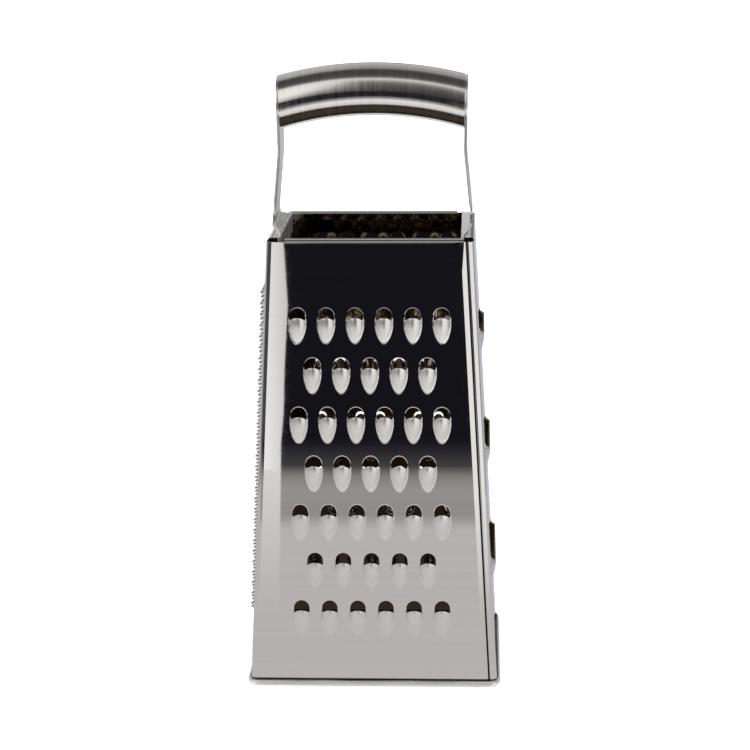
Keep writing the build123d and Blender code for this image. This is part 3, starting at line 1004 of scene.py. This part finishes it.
def strap_half(z):
    """Half the strap's width at that height: round head, straight neck, wide foot."""
    head = GRIP_DIAMETER / 2
    rise = z - GRIP_END_HEIGHT
    rounded = math.sqrt(max(0.0, head ** 2 - rise ** 2))
    if rise > 0:
        return rounded
    foot = TOP_DEPTH / 2 - LEDGE_WIDTH - STRAP_CLEARANCE
    flare_top = BODY_HEIGHT + STRAP_FLARE_HEIGHT
    flare_low = BODY_HEIGHT + STRAP_CLEARANCE
    if z >= flare_top:
        return max(STRAP_NECK_HALF, rounded)
    if z > flare_low:
        share = 1 - math.sqrt((z - flare_low) / (flare_top - flare_low))
        return STRAP_NECK_HALF + (foot - STRAP_NECK_HALF) * share ** 2
    low = BODY_HEIGHT - STRAP_FOOT_DEPTH
    corner = STRAP_FOOT_CORNER
    if z < low + corner:
        return foot - corner + math.sqrt(max(0.0, corner ** 2 - (low + corner - z) ** 2))
    return foot


def strap_corners():
    """Corners of the right strap's middle line, as X and Z, from its head down to its foot."""
    outer = TOP_WIDTH / 2
    foot_x = outer - LEDGE_WIDTH - STRAP_THICKNESS / 2
    shoulder_x = outer - STRAP_SHOULDER_IN
    shoulder_top, shoulder_low = STRAP_SHOULDER_RISES
    waist = (outer - STRAP_WAIST_IN, BODY_HEIGHT + STRAP_WAIST_RISE)
    head = (outer - STRAP_HEAD_IN, GRIP_END_HEIGHT + GRIP_DIAMETER / 2)
    return [head, waist, (shoulder_x, BODY_HEIGHT + shoulder_top), (shoulder_x, BODY_HEIGHT + shoulder_low),
            (foot_x, BODY_HEIGHT + STRAP_CLEARANCE), (foot_x, BODY_HEIGHT - STRAP_FOOT_DEPTH)]


def strap(side, name, node):
    corners = strap_corners()
    head, waist = Vector(corners[0]), Vector(corners[1])
    head_steps = 12
    stations = []
    for k in range(head_steps):
        z = GRIP_END_HEIGHT + GRIP_DIAMETER / 2 * math.cos(math.pi / 2 * k / head_steps)
        share = (z - waist.y) / (head.y - waist.y)
        stations.append(Vector((waist.x + (head.x - waist.x) * share, z)))
    path = denser(fillet_path(corners, STRAP_BEND_RADII, BEND_STEPS), STRAP_LONGEST_STEP)
    stations += [p for p in path if p.y < GRIP_END_HEIGHT - STRAP_HEAD_GAP]
    columns = 16
    across = [math.sin(math.pi / 2 * (2 * k / columns - 1)) for k in range(columns + 1)]
    rows = []
    for p in stations:
        half = strap_half(p.y)
        rows.append([Vector((side * p.x, half * share, p.y)) for share in across])
    skin = Skin()
    skin.add_grid(rows, Vector((side, 0, 0)))
    thing = new_mesh_object(name, skin.points, skin.faces, merge=0.01)
    solid = thing.modifiers.new("strip thickness", "SOLIDIFY")
    solid.thickness = STRAP_THICKNESS * MM
    solid.offset = 0.0
    solid.use_even_offset = True
    edge = thing.modifiers.new("worn edge", "BEVEL")
    edge.width = STRAP_WORN_EDGE * MM
    edge.segments = 2
    edge.limit_method = "ANGLE"
    edge.angle_limit = math.radians(60)
    bake_modifiers(thing)
    smooth_surfaces(thing, 45)
    wear(thing, STRAP_FINISH, "strap_steel", node)


def strap_inner_x(z):
    """How far out the inner face of the strap's head lies at that height."""
    head, waist = strap_corners()[:2]
    lean = (head[0] - waist[0]) / (head[1] - waist[1])
    return waist[0] + lean * (z - waist[1]) - STRAP_THICKNESS / 2 * math.hypot(1, lean)


def grip():
    """Bowed tube whose ends meet the inner faces of the two leaning straps."""
    half_chord = strap_inner_x(GRIP_END_HEIGHT)
    bow = (half_chord ** 2 + GRIP_RISE ** 2) / (2 * GRIP_RISE)
    centre_z = GRIP_END_HEIGHT + GRIP_RISE - bow
    around, along = 72, 56
    radius = GRIP_DIAMETER / 2
    first_swing = math.acos(0.965)
    swings = []
    for k in range(around):
        reach = bow + radius * math.cos(2 * math.pi * k / around)
        swing = first_swing
        for _ in range(2):
            swing = math.asin(min(1.0, strap_inner_x(centre_z + reach * math.cos(swing)) / reach))
        swings.append((reach, swing))
    points = []
    for s in range(along + 1):
        for k, (reach, swing) in enumerate(swings):
            angle = swing * (2 * s / along - 1)
            y = radius * math.sin(2 * math.pi * k / around)
            points.append(Vector((reach * math.sin(angle), y, centre_z + reach * math.cos(angle))))
    thing = new_mesh_object("bowed_grip_tube", points, loop_faces(along + 1, around))
    face = thing.data.polygons[0]
    if face.normal.dot(Vector((0, face.center.y, face.center.z - GRIP_END_HEIGHT * MM))) < 0:
        thing.data.flip_normals()
    thicken(thing, GRIP_WALL)
    smooth_surfaces(thing, 50)
    wear(thing, GRIP_FINISH, "grip_steel", "grip_tube")


coarse_and_fine_sheet()
slicing_and_medium_sheet()
base_rim()
strap(1, "right_strap_strip", "right_strap")
strap(-1, "left_strap_strip", "left_strap")
grip()


# Studio: pale floor, soft light, cards that only the metal reflects

FAR = 7900
WIDE = 440
TABLE_EDGE_X, TABLE_EDGE_Y = 54.4, 44.4
TABLE_MIDDLE_Y, TABLE_END_Y = -318, -563
ROOM_FRONT_Y = -230
CARD_Y = -142.6

# How grazing the look at a card is where its tones begin to turn to the steep ones, and where they have
STEEP_LOOK = (0.68, 0.42)

# Heights of the lying cards, each its own, so that none meets another
TABLE_HEIGHT = 0.4
ROOM_HEIGHT, BESIDE_HEIGHT, DIM_HEIGHT = 0.3, 0.35, 0.36
SHADE_HEIGHT, OPENING_HEIGHT = 0.2, 0.8

# The world's strength, and how far off to the side its mirrored bands pass from the middle to the side ones
EVEN_STRENGTH = 1.7
BAND_MIDDLE = 0.08
BAND_SIDES = (0.15, 0.26)


def grey(level, warmth=0.0):
    return (level * (1 + warmth), level, level * (1 - warmth))


BLACK = (0.009, 0.0085, 0.012)
NEAR_TONE = grey(0.585, 0.022)
SIDE_TONE = (1.0, 0.99, 0.97)


def plain(name, colour, roughness):
    finish = bpy.data.materials.new(name)
    finish.use_nodes = True
    shader = finish.node_tree.nodes["Principled BSDF"]
    shader.inputs["Base Color"].default_value = (*colour, 1)
    shader.inputs["Roughness"].default_value = roughness
    return finish


def glow(name, colour, strength=1.0):
    finish = bpy.data.materials.new(name)
    finish.use_nodes = True
    tree = finish.node_tree
    tree.nodes.clear()
    lamp = add_node(tree, "ShaderNodeEmission", {"Color": (*colour, 1), "Strength": strength})
    add_node(tree, "ShaderNodeOutputMaterial", {0: lamp.outputs[0]})
    return finish


def card(name, corners, finish, only_reflected=True):
    mesh = bpy.data.meshes.new(name)
    mesh.from_pydata([Vector(c) * MM for c in corners], [], [tuple(range(len(corners)))])
    thing = bpy.data.objects.new(name, mesh)
    mesh.materials.append(finish)
    bpy.context.scene.collection.objects.link(thing)
    if only_reflected:
        for kind in ("camera", "diffuse", "shadow", "transmission", "volume_scatter"):
            setattr(thing, "visible_" + kind, False)


def level_card(name, corners, z, finish, only_reflected=True):
    card(name, [(x, y, z) for x, y in corners], finish, only_reflected)


def upright_card(name, corners, y, finish):
    card(name, [(x, y, z) for x, z in corners], finish)


def box(x1, x2, y1, y2):
    return [(x1, y1), (x2, y1), (x2, y2), (x1, y2)]


def tone_ramp(tree, share, stops):
    ramp = add_node(tree, "ShaderNodeValToRGB", {0: share})
    elements = ramp.color_ramp.elements
    for number, (at, tone) in enumerate(stops):
        if number in (0, len(stops) - 1):
            element = elements[0 if number == 0 else -1]
            element.position = at
        else:
            element = elements.new(at)
        element.color = (*tone, 1)
    return ramp.outputs[0]


def band_ramp(tree, share, stops):
    """Grey bands of the soft studio, by the angle in degrees up from the front and over to the back."""
    bands = [(angle / 180, (level, level * 0.985, level * 0.96)) for angle, level in stops]
    return tone_ramp(tree, share, bands)


def graded_glow(name, axis, stops, steep_stops=None):
    """Glow whose tone follows the place along one axis, in millimetres.

    steep_stops holds the tones seen from steeply above, by the share of the way along that axis.
    """
    paint = glow(name, (1, 1, 1))
    tree = paint.node_tree
    place = separate(tree, add_node(tree, "ShaderNodeTexCoord").outputs["Object"])
    first, last = stops[0][0], stops[-1][0]
    share = map_range(tree, place[axis], first * MM, last * MM)
    tone = tone_ramp(tree, share, [((at - first) / (last - first), tone) for at, tone in stops])
    if steep_stops:
        steep = map_range(tree, add_node(tree, "ShaderNodeLayerWeight").outputs["Facing"], *STEEP_LOOK)
        tone = mix_colour(tree, steep, tone, tone_ramp(tree, share, steep_stops))
    tree.links.new(tone, tree.nodes["Emission"].inputs["Color"])
    return paint


def table_cards():
    """Table that the steel mirrors, round the foot and out to its dark far end in front."""
    level = TABLE_HEIGHT
    near_stops = [(TABLE_MIDDLE_Y, NEAR_TONE), (-43, NEAR_TONE)]
    end_stops = [(TABLE_END_Y, BLACK), (-518, (0.034, 0.032, 0.038)), (-483, grey(0.06)),
                 (-455, grey(0.27, 0.03)), (-418, grey(0.37, 0.03)), (-353, grey(0.34, 0.03)),
                 (TABLE_MIDDLE_Y, NEAR_TONE)]
    aside_stops = [(-52, NEAR_TONE), (52, (0.52, 0.525, 0.56))]
    back_stops = [(52, (0.50, 0.51, 0.55)), (900, (0.56, 0.57, 0.62))]
    steep = [(0.0, grey(0.97, 0.015)), (0.35, grey(0.92, 0.015)), (0.7, grey(0.70, 0.02)),
             (1.0, grey(0.60, 0.02))]
    even_steep = [(0.0, grey(0.85, 0.015)), (1.0, grey(0.85, 0.015))]
    near = graded_glow("table seen in the steel", "Y", near_stops, steep)
    end = graded_glow("table end seen in the steel", "Y", end_stops)
    aside = graded_glow("table sides seen in the steel", "Y", aside_stops, even_steep)
    behind = graded_glow("table back seen in the steel", "Y", back_stops, even_steep)
    x, y = TABLE_EDGE_X, TABLE_EDGE_Y
    level_card("table_front", box(-WIDE, WIDE, TABLE_MIDDLE_Y, -y), level, near)
    level_card("table_end", box(-WIDE, WIDE, TABLE_END_Y, TABLE_MIDDLE_Y), level, end)
    level_card("table_left", box(-WIDE, -x, -y, y), level, aside)
    level_card("table_right", box(x, WIDE, -y, y), level, aside)
    level_card("table_back", box(-FAR, FAR, y, FAR), level, behind)


def room_cards():
    """Room beyond the table, dark in front and at its opening, and the shade under the foot."""
    y = TABLE_EDGE_Y
    dark = glow("dark room seen in the steel", BLACK)
    beside = glow("left of the room seen in the steel", (0.36, 0.36, 0.40))
    dim = glow("dim front of the room seen in the steel", grey(0.075))
    shaded = glow("shaded table under the open foot", (0.05, 0.042, 0.034))
    level_card("dark_room_front", box(-FAR, FAR, -FAR, ROOM_FRONT_Y), ROOM_HEIGHT, dark)
    left = [(-FAR, -2200), (-WIDE, ROOM_FRONT_Y), (-WIDE, y), (-FAR, y)]
    right = [(WIDE, ROOM_FRONT_Y), (FAR, -2200), (FAR, y), (WIDE, y)]
    dim_front = [(-WIDE, ROOM_FRONT_Y), (-WIDE, TABLE_END_Y), (-115, TABLE_END_Y), (-630, -5000),
                 (-5000, -5000), (-5000, -2200)]
    opening = [(-80, 500), (30, 500), (30, FAR), (-700, FAR)]
    level_card("room_left", left, BESIDE_HEIGHT, beside)
    level_card("room_right", right, BESIDE_HEIGHT, beside)
    level_card("dim_room_front", dim_front, DIM_HEIGHT, dim)
    level_card("under_the_foot", box(-50, 50, -40, 40), SHADE_HEIGHT, shaded)
    level_card("dark_opening_back", opening, OPENING_HEIGHT, dark)


def light_cards():
    """Bright strip and side that stand upright in the steel's reflection, and the straps' glints."""
    strip_stops = [(-56, grey(1.08)), (-50, grey(0.92)), (-44, grey(0.74))]
    strip_foot_stops = [(1, NEAR_TONE), (25, grey(0.66)), (50, grey(0.76)), (72, grey(0.86))]
    side_foot_stops = [(1, NEAR_TONE), (30, grey(0.80)), (60, SIDE_TONE)]
    strip = graded_glow("bright strip seen in the steel", "X", strip_stops)
    strip_foot = graded_glow("foot of the bright strip", "Z", strip_foot_stops)
    glint = glow("glint on the straps", (1.0, 0.98, 0.94), 1.2)
    side = glow("bright side seen in the steel", SIDE_TONE)
    side_foot = graded_glow("foot of the bright side", "Z", side_foot_stops)
    wavy_edge = [(-45.2, 182), (-44.3, 165), (-43.5, 150), (-44.6, 133), (-45.4, 120), (-46.1, 100),
                 (-47.6, 84), (-47.8, 72)]
    upright_card("bright_strip_left", wavy_edge + [(-56.5, 72), (-51.5, 182)], CARD_Y, strip)
    upright_card("bright_strip_left_low", [(-47.8, 72), (-49.5, 1), (-62, 1), (-56.5, 72)], CARD_Y,
                 strip_foot)
    upright_card("strap_glint_left", box(-68, -50, 184, 207), CARD_Y - 1, glint)
    upright_card("strap_glint_right", box(36, 62, 187, 207), CARD_Y - 1, glint)
    upright_card("bright_side_right", [(44.9, 60), (300, 60), (300, 186), (38.0, 186)], CARD_Y, side)
    upright_card("bright_side_right_low", [(48.2, 1), (300, 1), (300, 60), (44.9, 60)], CARD_Y, side_foot)


def soft_world():
    """Even light, with grey bands in its place for what the steel mirrors."""
    world = bpy.data.worlds.new("soft studio")
    bpy.context.scene.world = world
    world.use_nodes = True
    tree = world.node_tree
    tree.nodes.clear()
    direction = separate(tree, add_node(tree, "ShaderNodeTexCoord").outputs["Generated"])
    angle = math_node(tree, "ARCTAN2", direction["Z"], math_node(tree, "MULTIPLY", direction["Y"], -1.0))
    share = math_node(tree, "DIVIDE", angle, math.pi)
    middle = band_ramp(tree, share, [(0, 0.035), (7, 0.05), (15, 0.07), (24, 0.11), (33, 0.18), (42, 0.42),
                                     (51, 0.80), (57, 0.28), (62, 0.10), (75, 0.05), (95, 0.05), (102, 0.12),
                                     (110, 0.32), (125, 0.40), (140, 0.50), (155, 0.60), (165, 0.22),
                                     (180, 0.16)])
    sides = band_ramp(tree, share, [(0, 0.9), (20, 1.1), (45, 1.0), (54, 0.75), (60, 0.12), (75, 0.05),
                                    (95, 0.05), (102, 0.12), (110, 0.40), (125, 0.5), (140, 0.55),
                                    (155, 0.62), (165, 0.62), (180, 0.62)])
    off_middle = math_node(tree, "ABSOLUTE", math_node(tree, "ADD", direction["X"], -BAND_MIDDLE))
    to_side = map_range(tree, off_middle, *BAND_SIDES, interpolation_type="SMOOTHSTEP")
    bands = add_node(tree, "ShaderNodeBackground", {0: mix_colour(tree, to_side, middle, sides)})
    even = add_node(tree, "ShaderNodeBackground", {0: (1, 1, 1, 1), 1: EVEN_STRENGTH})
    mirrored = add_node(tree, "ShaderNodeLightPath").outputs["Is Glossy Ray"]
    blend = add_node(tree, "ShaderNodeMixShader", {0: mirrored, 1: even.outputs[0], 2: bands.outputs[0]})
    add_node(tree, "ShaderNodeOutputWorld", {0: blend.outputs[0]})


def camera():
    """Camera fitted to the photograph: its turns, its focal length in pixels and its place."""
    tilt, turn, roll = math.radians(14.029), math.radians(2.809), math.radians(-0.588)
    focal_pixels, picture_pixels, sensor_width = 2200, 750, 36.0
    ahead = Vector((-math.sin(turn), math.cos(turn), 0))
    right = Vector((math.cos(turn), math.sin(turn), 0))
    level_up = Vector((0, 0, 1))
    forward = ahead * math.cos(tilt) - level_up * math.sin(tilt)
    up = level_up * math.cos(tilt) + ahead * math.sin(tilt)
    rolled_right = right * math.cos(roll) + up * math.sin(roll)
    rolled_up = up * math.cos(roll) - right * math.sin(roll)
    data = bpy.data.cameras.new("camera")
    data.sensor_width = sensor_width
    data.lens = focal_pixels / picture_pixels * sensor_width
    data.clip_start = 0.01
    data.clip_end = 100
    eye = bpy.data.objects.new("camera", data)
    bpy.context.scene.collection.objects.link(eye)
    place = Matrix((rolled_right, rolled_up, -forward)).transposed().to_4x4()
    place.translation = Vector((44.984, -920.923, 356.296)) * MM
    eye.matrix_world = place
    bpy.context.scene.camera = eye
    bpy.context.scene.view_settings.view_transform = "Standard"


pale = plain("pale floor", (0.93, 0.93, 0.93), 0.9)
level_card("floor", box(-8000, 8000, -8000, 8000), 0, pale, False)
table_cards()
room_cards()
light_cards()
soft_world()
camera()
